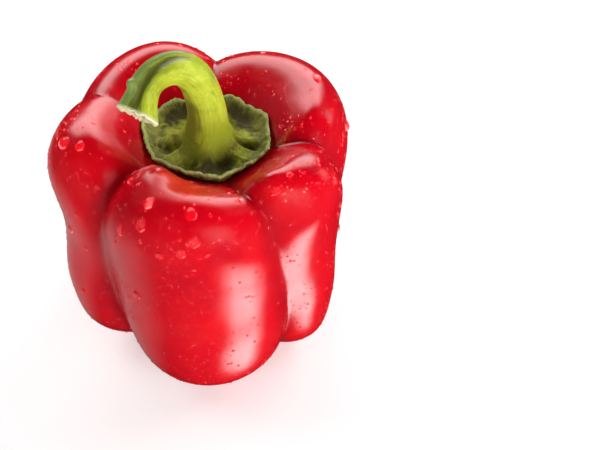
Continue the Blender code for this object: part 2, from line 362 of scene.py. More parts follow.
calyx = {
    "corners": (
        (29.0, 22.4), (68.0, 21.6), (122.0, 21.6), (163.0, 22.8),
        (213.0, 20.4), (283.0, 21.6), (340.0, 21.7),
    ),
    "edgeBow": 0.22,            # 0 for straight edges between the corners, 1 for round ones
    "cornerRise": 0.9,          # how far the corners turn up over the rest of the rim
    "clearance": 0.3,
    "leastThick": 0.9,
    "rimThick": 1.1,
    # share of the way from the stem to the rim, and height over the pit's floor, on a rib and in a hollow
    "rib": (
        (0.0, 13.0), (0.012, 12.0), (0.032, 11.0), (0.06, 10.0), (0.09, 9.0), (0.13, 8.0),
        (0.17, 7.0), (0.23, 6.2), (0.3, 5.5), (0.39, 5.0), (0.5, 4.6), (0.62, 4.3), (0.73, 4.2),
        (0.83, 4.7), (0.92, 6.1), (1.0, 6.9),
    ),
    "hollow": (
        (0.0, 13.0), (0.01, 12.0), (0.026, 10.8), (0.045, 9.6), (0.07, 8.2), (0.1, 6.6),
        (0.135, 5.0), (0.18, 3.6), (0.25, 2.5), (0.34, 1.9), (0.45, 1.6), (0.56, 1.6), (0.67, 2.1),
        (0.78, 3.8), (0.89, 5.9), (1.0, 6.9),
    ),
    # azimuth and half width in degrees
    "hollows": ((128, 21), (50, 23), (248, 15), (293, 17), (193, 9), (352, 5)),
    # dark places: azimuth, half width in degrees, radius and half width in mm, strength
    "shadows": (
        (130, 16, 17.2, 2.0, 1.2), (106, 15, 18.2, 1.7, 1.0), (44, 15, 16.6, 2.6, 1.0),
        (62, 12, 18.0, 2.0, 0.8), (20, 9, 15.5, 1.2, 0.45), (274, 22, 12.8, 3.6, 1.0),
        (303, 14, 12.5, 3.0, 0.8), (250, 12, 14.2, 2.2, 0.6), (183, 8, 15.6, 1.2, 0.8),
        (156, 5, 16.2, 0.8, 0.7), (352, 5, 15.4, 1.1, 0.8), (215, 7, 16.4, 0.9, 0.5),
    ),
    # raised lines: azimuth and radius at their two ends, height and half width in mm
    "creases": (
        (158, 18.6, 112, 16.2, 1.0, 0.6), (176, 9.0, 158, 18.0, 0.5, 1.0),
        (66, 15.5, 26, 17.6, 0.8, 0.6), (352, 9.0, 8, 17.5, 0.6, 1.0),
        (205, 10.0, 214, 17.5, 0.4, 0.9), (318, 9.0, 326, 17.0, 0.5, 0.8),
        (270, 8.5, 262, 15.0, 0.35, 0.5), (232, 10.0, 230, 17.0, 0.4, 0.7),
        (200, 17.0, 172, 17.3, 0.5, 0.5),
    ),
    "columns": 400,
    "topRows": 96,
    "edgeRows": 5,
    "underRows": 22,
    "folds": 0.5,               # height in mm of the radial folds towards the rim
    "lumps": ((0.45, 0.3), (0.2, 0.8), (0.09, 2.1)),   # heights in mm and how many to the mm
}


def rimAt(azimuth):
    # the rim's radius, nearly straight between the corners, and how near a corner it is
    corners = calyx["corners"]
    for (here, radius), (there, nextRadius) in zip(corners, corners[1:] + corners[:1]):
        span, past = (there - here) % 360.0, (azimuth - here) % 360.0
        if past <= span:
            share = past / span
            sweep = math.radians(span)
            straight = radius * nextRadius * math.sin(sweep) / (
                radius * math.sin(sweep * share) + nextRadius * math.sin(sweep * (1 - share)))
            bowed = mix(straight, mix(radius, nextRadius, share), calyx["edgeBow"])
            return bowed, hill(min(share, 1 - share), 0, 0.22)
    return corners[0][1], 1.0


def hollowness(azimuth):
    return min(sum(hill(turnGap(azimuth, at), 0, width) for at, width in calyx["hollows"]), 1.0)


def shadowAt(azimuth, radius):
    return min(sum(
        strength * hill(turnGap(azimuth, at), 0, width) * hill(radius, away, spread)
        for at, width, away, spread, strength in calyx["shadows"]
    ), 1.0)


def creaseAt(azimuth, flat):
    # height in mm of the raised lines
    height = 0.0
    for start, startRadius, end, endRadius, rise, width in calyx["creases"]:
        first, last = polar(startRadius, start, 0), polar(endRadius, end, 0)
        along = last - first
        share = min(max((flat - first).dot(along) / along.length_squared, 0.0), 1.0)
        wander = 0.5 * noise.noise(flat * 0.5 + Vector((start, 0, 0)))
        away = (flat - first - along * share).length + wander
        height = max(height, rise * hill(away, 0, width) * ease(share / 0.2) * ease((1 - share) / 0.15))
    return height


def calyxTop(azimuth, share):
    # a point of the upper side in mm from the axis and the pit's floor, with its marks
    turn = math.radians(azimuth)
    ring = Vector((math.cos(turn), math.sin(turn), 0))
    rim, corner = rimAt(azimuth)
    hollow = hollowness(azimuth)
    reach, height = (mix(a, b, hollow) for a, b in zip(
        curveAt(calyx["rib"], share), curveAt(calyx["hollow"], share)))
    reach = max(reach, 0.0)
    ragged = 0.45 * noise.noise(ring * 9) + 0.35 * noise.noise(ring * 24)
    seam = stem["seam"]
    innerX, innerY, _ = curveAt(stem["path"], seam)
    inner = curveAt([(r,) for r in stem["radii"]], seam)[0] + ridgeAt(math.pi / 2 - turn, seam) - 0.06
    centre = Vector((innerX, innerY, 0)) * (1 - reach)
    flat = centre + ring * mix(inner, rim + ragged * reach, reach)
    loose = ease((reach - 0.1) / 0.35)
    lump = 0.0
    for rise, perMm in calyx["lumps"]:
        lump += rise * (0.55 - abs(noise.noise(flat * perMm + Vector((9 * perMm, 0, reach))))) * 1.4
    fold = noise.noise(Vector((math.cos(turn) * 7.5, math.sin(turn) * 7.5, reach * 1.5)))
    crease = creaseAt(azimuth, flat)
    height += loose * (lump - 0.4) + crease * ease((reach - 0.08) / 0.2)
    height += calyx["folds"] * fold * ease((reach - 0.3) / 0.5)
    height += ease((reach - 0.72) / 0.28) * (calyx["cornerRise"] * corner + 0.8 * noise.noise(ring * 6))
    skin = skinHeight(flat * mm + axis)
    height = smoothMax(height, skin + calyx["leastThick"], 0.5)
    # how far the point stands up, which sets the painted light on raised parts and the painted shade in
    # the crannies
    cavity = (lump - 0.35) * loose + crease * 0.8 + 0.3 * fold * loose
    shadow = shadowAt(azimuth + 4 * fold, flat.length + 1.2 * noise.noise(flat * 0.6))
    # painted shade on the side of the cone that meets the stem's shaded side
    middle, spread = stem["dullSide"]
    dull = hill(turnAway(turn - math.pi / 2, middle), 0, spread) * ease((0.5 - reach) / 0.3)
    return Vector((flat.x, flat.y, height)), (reach, shadow, cavity, dull), skin


def makeCalyx():
    azimuths = [360.0 * n / calyx["columns"] for n in range(calyx["columns"])]
    shares = [n / calyx["topRows"] for n in range(calyx["topRows"] + 1)]
    top = [[calyxTop(azimuth, share) for azimuth in azimuths] for share in shares]
    rings = [[point for point, _, _ in ring] for ring in top]
    marks = [[mark for _, mark, _ in ring] for ring in top]

    # round the edge over, then run back inwards close over the skin
    thick = calyx["rimThick"]
    for n in range(1, calyx["edgeRows"] + 1):
        turn = math.pi * n / (calyx["edgeRows"] + 1)
        ring = []
        for azimuth, (point, _, skin) in zip(azimuths, top[-1]):
            least = min(thick, point.z - skin - calyx["clearance"])
            drop = least * (1 - math.cos(turn)) / 2
            ring.append(point + polar(0.5 * least * math.sin(turn), azimuth, -drop))
        rings.append(ring)
        marks.append(marks[calyx["topRows"]])
    for n in range(calyx["underRows"]):
        row = round(calyx["topRows"] * (1 - n / calyx["underRows"]))
        ring = []
        for point, _, skin in top[row]:
            low = smoothMax(skin + calyx["clearance"], point.z - thick * (1 + n), 0.05)
            ring.append(Vector((point.x, point.y, min(low, point.z - 0.5))))
        rings.append(ring)
        marks.append(marks[row])
    base = Vector((axis.x, axis.y, pitFloor))
    rings = [[point * mm + base for point in ring] for ring in rings]
    neck = base + Vector((0, 0, calyx["rib"][0][1] * mm))
    foot = base + Vector((0, 0, 0.4 * mm))
    named = [
        (name, [[mark[n] for mark in ring] for ring in marks], (0, 0))
        for n, name in enumerate(("reach", "shadow", "cavity", "dull"))
    ]
    piece = skinRings("pepper_calyx", rings, neck, foot, named)
    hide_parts("calyx")
    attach(piece, "root")
    return piece


pepperCalyx = makeCalyx()
print("calyx made:", len(pepperCalyx.data.polygons), "faces")


def makeStem():
    count = stem["rings"]
    base = Vector((axis.x, axis.y, pitFloor + stem["gap"] * mm))
    path = [Vector(curveAt(stem["path"], n / count)) for n in range(count + 1)]
    radii = [curveAt([(r,) for r in stem["radii"]], n / count)[0] for n in range(count + 1)]
    turns = [-2 * math.pi * k / stem["sides"] for k in range(stem["sides"])]
    knobShare, knobTurn, knobHeight = stem["knob"]
    before, beyond, around = stem["knobSpread"]
    side = Vector((0, 1, 0))
    names = ("cut", "way", "groove", "outer", "dull")
    rings, marks = [], {name: [] for name in names}
    for n, centre in enumerate(path):
        share = n / count
        ahead = path[min(n + 1, count)] - path[max(n - 1, 0)]
        if n == 0:
            ahead = Vector((0, 0, 1))
        ahead.normalize()
        side = (side - ahead * side.dot(ahead)).normalized()
        across = ahead.cross(side)
        lean = stem["cutLean"] * ease((share - stem["cutShare"]) / (1 - stem["cutShare"]))
        torn = ease((share - 0.95) / 0.05)
        ring = []
        for name in names:
            marks[name].append([])
        for turn in turns:
            outwards = side * math.cos(turn) + across * math.sin(turn)
            spoke = Vector((math.cos(turn), math.sin(turn), 0))
            fibre = noise.noise(spoke * 14 + Vector((0, 0, share * 5)))
            depth, past = grooveAt(turn, share)
            radius = radii[n] + ridgeAt(turn, share) * (1 - 0.5 * torn) + stem["fibre"] * fibre
            radius -= depth * (1 - 0.6 * torn)
            knob = hill(share, knobShare, before if share < knobShare else beyond)
            radius += knobHeight * knob * hill(turnAway(turn, knobTurn), 0, around)
            tear = torn * stem["ragged"] * (noise.noise(spoke * 3.1) + 0.6 * noise.noise(spoke * 9))
            ring.append(centre + outwards * radius + ahead * (lean.dot(outwards * radius) + tear))
            middle, spread = stem["dullSide"]
            # marks: the torn end, the way along, painted shade in the groove and between the ridges, the
            # hook's outside, and painted shade on one side of the foot
            values = (
                ease((share - 0.975) / 0.02), share,
                depth + 0.25 * (0.5 - 0.5 * ridgeWave(turn, share)) + 0.12 * fibre,
                ease((past - 0.1) / 0.4) * ease((2.2 - past) / 0.6) * ease((share - 0.36) / 0.12),
                hill(turnAway(turn, middle), 0, spread) * ease((0.36 - share) / 0.14) + 0.1 * fibre,
            )
            for name, value in zip(names, values):
                marks[name][-1].append(value)
        rings.append(ring)

    # the torn face: a lip, a step down to the pith, and its middle
    rim, middle = rings[-1], path[-1]
    for inwards, sunk in stem["tornFace"]:
        ring = []
        for k, point in enumerate(rim):
            lump = noise.noise(Vector((point.x, point.y, point.z + inwards * 3)) * 0.9)
            ring.append(middle + (point - middle) * inwards - ahead * (sunk + 0.35 * lump))
        rings.append(ring)
        marks["cut"].append([1.0 + (1 - inwards)] * len(ring))
        for name in names[1:]:
            marks[name].append(marks[name][-1])
    rings = [[point * mm + base for point in ring] for ring in rings]
    tip = (middle - ahead * 0.8) * mm + base
    ends = {"cut": (0, 2), "way": (0, 1)}
    named = [(name, marks[name], ends.get(name, (0, 0))) for name in names]
    piece = skinRings("pepper_stem", rings, path[0] * mm + base, tip, named)

    # lengthwise grain, as coordinates that run round and along the stem
    grain = [Vector((0, 0, 0))]
    grain += [Vector((math.cos(t), math.sin(t), way[0] * 9)) for way in marks["way"] for t in turns]
    grain += [Vector((0, 0, 9))]
    attribute = piece.data.attributes.new("grain", "FLOAT_VECTOR", "POINT")
    attribute.data.foreach_set("vector", [value for point in grain for value in point])
    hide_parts("stem")
    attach(piece, "root")
    return piece


pepperStem = makeStem()
print("stem made:", len(pepperStem.data.polygons), "faces")


# ---- the water on the skin

water = {
    # lobe, share across it, share of the way down, width and length in mm
    "drops": (
        (2, 0.58, 0.39, 4.3, 4.8), (2, 0.68, 0.36, 3.0, 4.0), (2, 0.92, 0.39, 1.8, 1.8),
        (2, 0.47, 0.31, 1.6, 1.9), (2, 0.83, 0.48, 1.9, 2.6), (2, 0.68, 0.54, 2.6, 3.4),
        (2, 0.82, 0.55, 1.7, 2.0), (2, 0.74, 0.65, 1.9, 2.1), (3, 0.14, 0.33, 2.8, 3.0),
        (3, 0.35, 0.37, 3.9, 4.4), (3, 0.33, 0.42, 3.8, 5.2), (3, 0.20, 0.44, 2.3, 5.8),
        (3, 0.33, 0.45, 1.6, 2.4), (3, 0.42, 0.47, 2.9, 2.7), (3, 0.52, 0.46, 3.7, 3.9),
        (3, 0.58, 0.44, 4.8, 3.5), (3, 0.59, 0.38, 3.9, 4.5), (3, 0.56, 0.49, 1.4, 1.8),
        (3, 0.64, 0.46, 1.3, 1.5), (3, 0.24, 0.57, 3.0, 3.4), (3, 0.88, 0.30, 1.6, 1.9),
        (3, 0.92, 0.34, 2.2, 2.4), (4, 0.15, 0.37, 3.6, 2.2), (4, 0.33, 0.35, 2.6, 2.0),
        (4, 0.03, 0.37, 1.3, 1.5), (0, 0.38, 0.36, 4.4, 3.2), (0, 0.74, 0.35, 1.9, 1.5),
        (1, 0.24, 0.34, 1.7, 1.4), (1, 0.73, 0.33, 2.0, 1.5), (1, 0.64, 0.33, 2.1, 1.3),
        (1, 0.82, 0.38, 1.7, 1.5),
        # round the back, where they ran down
        (0, 0.22, 0.45, 3.4, 4.2), (0, 0.55, 0.52, 2.6, 4.8), (0, 0.7, 0.42, 3.8, 3.4),
        (0, 0.4, 0.63, 2.2, 2.8), (1, 0.3, 0.43, 3.2, 3.9), (1, 0.52, 0.5, 4.2, 4.6),
        (1, 0.6, 0.6, 1.9, 2.6), (1, 0.44, 0.68, 2.8, 3.2), (2, 0.25, 0.46, 3.1, 4.4),
        (2, 0.4, 0.58, 2.2, 2.6), (4, 0.6, 0.43, 3.0, 4.1), (4, 0.72, 0.55, 2.4, 3.2),
    ),
    "dropMesh": (32, 10),       # sides and rows of one drop
    "speckMesh": (7, 3),
    "wetting": 0.27,            # how high a drop stands, as a share of its width
    "sink": 0.04,               # how far its edge lies below the skin, in mm
    "specks": 3800,
    "speckWidth": (0.4, 1.2),
    "speckLength": (0.9, 1.25),     # as a share of the width
    "clump": 55.0,              # specks gather in patches, this many to the metre
    "clumping": (0.16, 1.4),    # the chance of a speck between the patches, and how much more inside
    "uneven": (0.08, 0.06),     # how far a drop's outline strays from an ellipse
    "litTurn": (0.1, 1.1),      # which way its painted bright lower edge faces, round from straight down
    "dryRadius": 24.0,          # no specks nearer the axis than this, in mm, or below dryHeight
    "dryHeight": 4.0,
    "seed": 7,
}


def addDrop(store, centre, facing, width, length, sides, rows, dice, hug=False):
    # one drop of water, from its top out to its edge a little under the skin
    points, faces, marks = store
    down = Vector((0, 0, -1)) - facing * -facing.z
    down = down.normalized() if down.length > 0.1 else facing.orthogonal().normalized()
    sideways = facing.cross(down)
    round2, round3 = (size * dice.uniform(-1, 1) for size in water["uneven"])
    lit = dice.uniform(*water["litTurn"]) * (-1 if sideways.x < 0 and facing.z < 0.9 else 1)
    height = water["wetting"] * min(width, length) * mm
    first = len(points)
    points.append(centre + facing * height)
    marks.append((0.0, 0.0))
    for row in range(1, rows + 1):
        out = math.sin(0.5 * math.pi * row / rows)
        for k in range(sides):
            turn = 2 * math.pi * k / sides
            reach = out * (1 + round2 * math.cos(2 * turn) + round3 * math.cos(3 * turn + 1)) * mm / 2
            sag = 1 + 0.16 * (length / width - 0.8) * math.cos(turn)     # fuller at its lower end
            spot = centre + down * reach * length * math.cos(turn)
            spot = spot + sideways * reach * width * sag * math.sin(turn)
            up = facing
            if hug:
                spot, up, _, _ = skinTree.find_nearest(spot)
            rise = height * math.sqrt(1 - out * out) * (1 + 0.35 * math.cos(turn) * out)
            points.append(spot + up * (rise - water["sink"] * mm))
            # marks for the painted bright lower edge and the painted glint
            glint = math.hypot(out * math.cos(turn - lit) + 0.45, out * math.sin(turn - lit) - 0.1)
            marks.append((math.cos(turn - lit) * out, hill(glint, 0, 0.14)))
    for k in range(sides):
        j = (k + 1) % sides
        faces.append((first, first + 1 + k, first + 1 + j))
        for row in range(rows - 1):
            start = first + 1 + row * sides
            faces.append((start + k, start + sides + k, start + sides + j, start + j))
    lastRing = [first + 1 + (rows - 1) * sides + k for k in range(sides)]
    faces.append(tuple(reversed(lastRing)))


def waterPiece(name, store):
    points, faces, marks = store
    mesh = bpy.data.meshes.new(name)
    mesh.from_pydata(points, [], faces)
    for n, label in enumerate(("gather", "glint")):
        values = [mark[n] for mark in marks]
        mesh.attributes.new(label, "FLOAT", "POINT").data.foreach_set("value", values)
    mesh.shade_smooth()
    piece = putIn(name, mesh)
    piece.visible_shadow = False        # light reaches the skin through the water
    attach(piece, "root")
    return piece


def makeDrops():
    dice = random.Random(water["seed"])
    store = [], [], []
    for number, across, share, width, length in water["drops"]:
        spot = fruitPoint(number, across, share) * mm + axis
        centre, facing, _, _ = skinTree.find_nearest(spot)
        addDrop(store, centre, facing, width, length, *water["dropMesh"], dice, hug=True)
    return waterPiece("water_drops", store)


def makeSpecks():
    # pick faces of the skin in proportion to their size, more of them in some patches
    dice = random.Random(water["seed"] + 1)
    skin = fruitMesh.polygons
    picks = dice.choices(range(len(skin)), weights=[face.area for face in skin], k=water["specks"] * 4)
    store = [], [], []
    few, more = water["clumping"]
    small, large = water["speckWidth"]
    for index in picks:
        spot, facing = skin[index].center, skin[index].normal
        away = math.hypot(spot.x - axis.x, spot.y - axis.y)
        if away < water["dryRadius"] * mm and facing.z > 0 or spot.z < water["dryHeight"] * mm:
            continue
        patch = noise.noise(spot * water["clump"]) + 0.5 * noise.noise(spot * water["clump"] * 3)
        if dice.random() > few + more * max(patch, 0.0):
            continue
        width = small + (large - small) * dice.random() ** 3
        length = width * dice.uniform(*water["speckLength"])
        addDrop(store, spot.copy(), facing.copy(), width, length, *water["speckMesh"], dice)
    return waterPiece("water_specks", store)


waterDrops = makeDrops()
waterSpecks = makeSpecks()
print("water made:", len(waterDrops.data.polygons), "and", len(waterSpecks.data.polygons), "faces")


# ---- small helpers for materials

def newMaterial(name):
    # the material, its tree, its shader and where a point lies on the object
    material = bpy.data.materials.new(name)
    material.use_nodes = True
    tree = material.node_tree
    return material, tree, tree.nodes["Principled BSDF"], add(tree, "TexCoord").outputs["Object"]


def feed(tree, node, inputs):
    # an input is a number, a colour or another node's output
    for name, value in inputs.items():
        if isinstance(value, bpy.types.NodeSocket):
            tree.links.new(value, node.inputs[name])
        else:
            node.inputs[name].default_value = value
    return node


def add(tree, kind, inputs=None, **settings):
    node = tree.nodes.new("ShaderNode" + kind)
    for name, value in settings.items():
        setattr(node, name, value)
    return feed(tree, node, inputs or {})


def mark(tree, name, kind="Fac"):
    return add(tree, "Attribute", attribute_name=name).outputs[kind]


def maths(tree, operation, a, b=0.0, clamp=False):
    return add(tree, "Math", {0: a, 1: b}, operation=operation, use_clamp=clamp).outputs[0]


def times(tree, a, b, clamp=False):
    return maths(tree, "MULTIPLY", a, b, clamp)


def plus(tree, a, b, clamp=False):
    return maths(tree, "ADD", a, b, clamp)


def minus(tree, a, b):
    return maths(tree, "SUBTRACT", a, b)


def between(tree, value, low, high, newLow=0.0, newHigh=1.0):
    # from newLow at low to newHigh at high, with soft ends
    inputs = {"Value": value, "From Min": low, "From Max": high, "To Min": newLow, "To Max": newHigh}
    return add(tree, "MapRange", inputs, interpolation_type="SMOOTHSTEP").outputs["Result"]


def blendColours(tree, share, first, second):
    # a colour is three numbers or another node's output
    first, second = ((*c, 1.0) if isinstance(c, tuple) else c for c in (first, second))
    return add(tree, "Mix", {0: share, 6: first, 7: second}, data_type="RGBA").outputs[2]


def layered(tree, colour, look, **values):
    # each value brings in the look's layer of the same name: a colour, and what between takes
    for name, value in values.items():
        shade, *reach = look[name]
        colour = blendColours(tree, between(tree, value, *reach), colour, shade)
    return colour


def grainOf(tree, where, scale, detail):
    inputs = {"Vector": where, "Scale": scale, "Detail": detail, "Roughness": 0.55}
    return add(tree, "TexNoise", inputs).outputs["Fac"]


def bumped(tree, height, strength, distance):
    inputs = {"Strength": strength, "Distance": distance, "Height": height}
    return add(tree, "Bump", inputs).outputs["Normal"]


def newGroup(name, inputs, outputs):
    group = bpy.data.node_groups.new(name, "ShaderNodeTree")
    for side, sockets in (("INPUT", inputs), ("OUTPUT", outputs)):
        for label, kind in sockets.items():
            group.interface.new_socket(label, in_out=side, socket_type="NodeSocket" + kind)
    return group, group.nodes.new("NodeGroupInput").outputs, group.nodes.new("NodeGroupOutput")


def useGroup(tree, group, inputs):
    return feed(tree, add(tree, "Group", node_tree=group), inputs).outputs


def makeMottle():
    # slow patches of a darker and a brighter shade over a base colour
    group, given, result = newGroup(
        "mottle",
        dict(Where="Vector", Scale="Float", Amount="Float", Base="Color", Dark="Color", Bright="Color"),
        dict(Colour="Color", Patch="Float"),
    )
    slow = grainOf(group, given["Where"], given["Scale"], 4.0)
    fine = grainOf(group, given["Where"], times(group, given["Scale"], 5.0), 2.0)
    patch = plus(group, slow, times(group, minus(group, fine, 0.5), 0.35))
    dark = times(group, between(group, patch, 0.5, 0.3), given["Amount"], clamp=True)
    bright = times(group, between(group, patch, 0.5, 0.7), given["Amount"], clamp=True)
    colour = blendColours(group, dark, given["Base"], given["Dark"])
    colour = blendColours(group, bright, colour, given["Bright"])
    feed(group, result, {"Colour": colour, "Patch": patch})
    return group


def makeSkinCells():
    # the fine pebbled skin of a plant: small cells with shallow seams between them
    group, given, result = newGroup(
        "skinCells", dict(Where="Vector", Cells="Float"), dict(Height="Float"))
    inputs = {"Vector": given["Where"], "Scale": given["Cells"]}
    cells = add(group, "TexVoronoi", inputs, feature="DISTANCE_TO_EDGE").outputs["Distance"]
    seam = between(group, cells, 0.0, 0.12, 1.0, 0.0)
    soft = grainOf(group, given["Where"], times(group, given["Cells"], 0.3), 3.0)
    feed(group, result, {"Height": minus(group, soft, times(group, seam, 0.15))})
    return group


def makeFibres():
    # long fibres that follow the grain coordinates: x and y run round, z runs along
    group, given, result = newGroup(
        "fibres",
        dict(Grain="Vector", Count="Float", Along="Float"),
        dict(Height="Float", Strand="Float"),
    )
    stretch = add(group, "CombineXYZ", {0: 1.0, 1: 1.0, 2: given["Along"]}).outputs[0]
    along = add(group, "VectorMath", {0: given["Grain"], 1: stretch}, operation="MULTIPLY").outputs[0]
    coarse = grainOf(group, along, given["Count"], 2.0)
    fine = grainOf(group, along, times(group, given["Count"], 4.0), 2.0)
    height = plus(group, times(group, coarse, 0.7), times(group, fine, 0.3))
    feed(group, result, {"Height": height, "Strand": between(group, height, 0.42, 0.6)})
    return group


mottle = makeMottle()
skinCells = makeSkinCells()
fibres = makeFibres()


def mottled(tree, where, look, names):
    # the three named colours of a look in patches; "patches" is how many to the metre, and strength
    scale, amount = look["patches"]
    colours = {label: (*look[name], 1.0) for label, name in zip(("Base", "Dark", "Bright"), names)}
    return useGroup(tree, mottle, {"Where": where, "Scale": scale, "Amount": amount, **colours})


def pebbles(tree, where, look):
    # "cells" is how many to the metre, and their height
    count, height = look["cells"]
    return times(tree, useGroup(tree, skinCells, {"Where": where, "Cells": count})["Height"], height)


def relief(tree, where, look):
    # "grain" is a slower unevenness: how many to the metre, detail and height
    scale, detail, height = look["grain"]
    grain = times(tree, grainOf(tree, where, scale, detail), height)
    return plus(tree, pebbles(tree, where, look), grain)


# ---- materials; a layer of a look is its colour and what between takes: low, high and the shares there

def makeSkinMaterial():
    look = {
        "red": (0.60, 0.0012, 0.009),
        "dark": (0.42, 0.0006, 0.009),
        "bright": (0.70, 0.004, 0.008),
        # painted shade for the furrows and the walls of the pit
        "paintedShade": (0.30, 0.0005, 0.007),
        "scar": ((0.35, 0.20, 0.09), 0.975, 0.99),
        "patches": (38.0, 0.5),
        "furrow": (0.6, 1.0, 0.0, 0.5),
        "pitWall": (0.29, 0.2, 0.0, 0.45),
        "pitFloor": (0.04, 0.1),
        "cells": (1400.0, 0.05),
        "grain": (160.0, 2.0, 0.3),
        "bump": (0.2, 0.0004),
        "wax": (0.35, 0.65, 0.19, 0.24),    # roughness where the wax is thin and where it is thick
        "scarRough": 0.4,
    }
    material, tree, shader, where = newMaterial("ripeRedSkin")
    way = mark(tree, "way")
    # painted shade: a darker red in the furrows and on the walls of the pit
    furrow = between(tree, mark(tree, "furrow"), *look["furrow"])
    pit = times(tree, between(tree, way, *look["pitWall"]), between(tree, way, *look["pitFloor"]))
    colour = mottled(tree, where, look, ("red", "dark", "bright"))["Colour"]
    colour = blendColours(tree, maths(tree, "MAXIMUM", furrow, pit), colour, look["paintedShade"])
    waxy = between(tree, grainOf(tree, where, 90.0, 5.0), *look["wax"])
    scar = between(tree, way, *look["scar"][1:])
    feed(tree, shader, {
        "Base Color": layered(tree, colour, look, scar=way),
        "Roughness": plus(tree, waxy, times(tree, scar, look["scarRough"])),
        "Normal": bumped(tree, relief(tree, where, look), *look["bump"]),
        "Coat Weight": 0.2,
        "Coat Roughness": 0.1,
        "Subsurface Weight": 0.08,
        "Subsurface Radius": (1.0, 0.15, 0.08),
        "Subsurface Scale": 0.003,
    })
    return material


def makeCalyxMaterial():
    look = {
        "rib": (0.27, 0.27, 0.025),
        "ribDark": (0.13, 0.115, 0.018),
        "ribBright": (0.42, 0.48, 0.06),
        "patches": (280.0, 0.9),
        "waver": 0.2,               # how far the patches push the bands in and out
        "leafy": (0.20, 0.235, 0.055),
        "brown": ((0.19, 0.145, 0.045), 0.42, 0.62),
        "band": (0.6, 0.82, 0.0, 0.85),
        # painted light on raised parts and painted shade in the crannies
        "raised": ((0.42, 0.48, 0.06), 0.25, 0.85, 0.0, 0.6),
        "cranny": ((0.075, 0.06, 0.015), 0.1, -0.4, 0.0, 0.8),
        "shadow": ((0.06, 0.045, 0.018), 0.15, 0.75, 0.0, 0.93),
        "edge": ((0.42, 0.48, 0.16), 0.93, 0.985, 0.0, 0.85),
        "stalk": ((0.30, 0.34, 0.02), 0.2, 0.0),
        # painted shade on the side that meets the stem's shaded side
        "dull": ((0.11, 0.115, 0.011), 0.25, 0.9, 0.0, 0.8),
        "cells": (1500.0, 0.5),
        "grain": (520.0, 4.0, 0.9),
        "bump": (0.8, 0.0007),
        "rough": (0.3, 0.7, 0.5, 0.68),
    }
    material, tree, shader, where = newMaterial("calyxLeaf")
    patches = mottled(tree, where, look, ("rib", "ribDark", "ribBright"))
    patch = patches["Patch"]
    reach, shadow, cavity, dull = (mark(tree, name) for name in ("reach", "shadow", "cavity", "dull"))
    wavy = plus(tree, reach, times(tree, minus(tree, patch, 0.5), look["waver"]))
    leafy = layered(tree, look["leafy"], look, brown=grainOf(tree, where, 700.0, 3.0))
    colour = blendColours(tree, between(tree, wavy, *look["band"]), patches["Colour"], leafy)
    feed(tree, shader, {
        # painted light on what stands up, painted shade in the crannies
        "Base Color": layered(
            tree, colour, look, raised=cavity, cranny=cavity, shadow=shadow,
            edge=wavy, stalk=wavy, dull=dull),
        "Roughness": between(tree, patch, *look["rough"]),
        "Normal": bumped(tree, relief(tree, where, look), *look["bump"]),
        "Specular IOR Level": 0.3,
        "Subsurface Weight": 0.06,
        "Subsurface Radius": (0.6, 1.0, 0.2),
        "Subsurface Scale": 0.0012,
    })
    return material


def makeStemMaterial():
    look = {
        "green": (0.41, 0.485, 0.022),
        "dark": (0.25, 0.31, 0.02),
        "bright": (0.59, 0.67, 0.08),
        "patches": (130.0, 0.8),
        "strandShare": 0.4,
        "frayed": 0.3,              # how far the strands break up the edges of the dark places
        "scuffed": ((0.11, 0.115, 0.011), 0.6, 0.7, 0.0, 0.45),
        "foot": ((0.30, 0.34, 0.02), 0.24, 0.08),
        "outside": ((0.17, 0.25, 0.07), 0.1, 0.8, 0.0, 0.85),
        # painted shade in the long groove and between the ridges
        "groove": ((0.085, 0.09, 0.012), 0.25, 1.05, 0.0, 0.92),
        # painted shade on one side of the foot
        "dull": ((0.11, 0.115, 0.011), 0.25, 0.9, 0.0, 0.85),
        "lip": ((0.52, 0.62, 0.28), 0.955, 0.975, 0.0, 0.85),
        "torn": ((0.80, 0.80, 0.50), 0.3, 0.9),
        "pith": ((0.46, 0.44, 0.24), 1.2, 1.5),
        "cells": (2200.0, 0.2),
        "bump": (0.5, 0.0005),
        "rough": (0.0, 1.0, 0.3, 0.4),
        "cutRough": 0.25,
    }
    material, tree, shader, where = newMaterial("freshStalk")
    grain = mark(tree, "grain", "Vector")
    strands = useGroup(tree, fibres, {"Grain": grain, "Count": 7.0, "Along": 0.1})
    scuff = useGroup(tree, fibres, {"Grain": grain, "Count": 2.6, "Along": 0.5})["Height"]
    way, cut = mark(tree, "way"), mark(tree, "cut")
    strand = strands["Strand"]
    thread = times(tree, minus(tree, strand, 0.5), look["frayed"])
    height = plus(tree, strands["Height"], pebbles(tree, where, look))
    rough = between(tree, strand, *look["rough"])
    rough = plus(tree, rough, times(tree, cut, look["cutRough"]), clamp=True)
    colour = mottled(tree, where, look, ("green", "dark", "bright"))["Colour"]
    colour = blendColours(tree, times(tree, strand, look["strandShare"]), colour, look["bright"])
    outer, groove, dull = (plus(tree, mark(tree, name), thread) for name in ("outer", "groove", "dull"))
    feed(tree, shader, {
        # painted shade in the groove and on one side of the foot
        "Base Color": layered(
            tree, colour, look, scuffed=scuff, foot=way, outside=outer, groove=groove,
            dull=dull, lip=way, torn=cut, pith=cut),
        "Roughness": rough,
        "Normal": bumped(tree, height, *look["bump"]),
        "Coat Weight": 0.2,
        "Coat Roughness": 0.2,
        "Subsurface Weight": 0.12,
        "Subsurface Radius": (0.8, 1.0, 0.2),
        "Subsurface Scale": 0.002,
    })
    return material


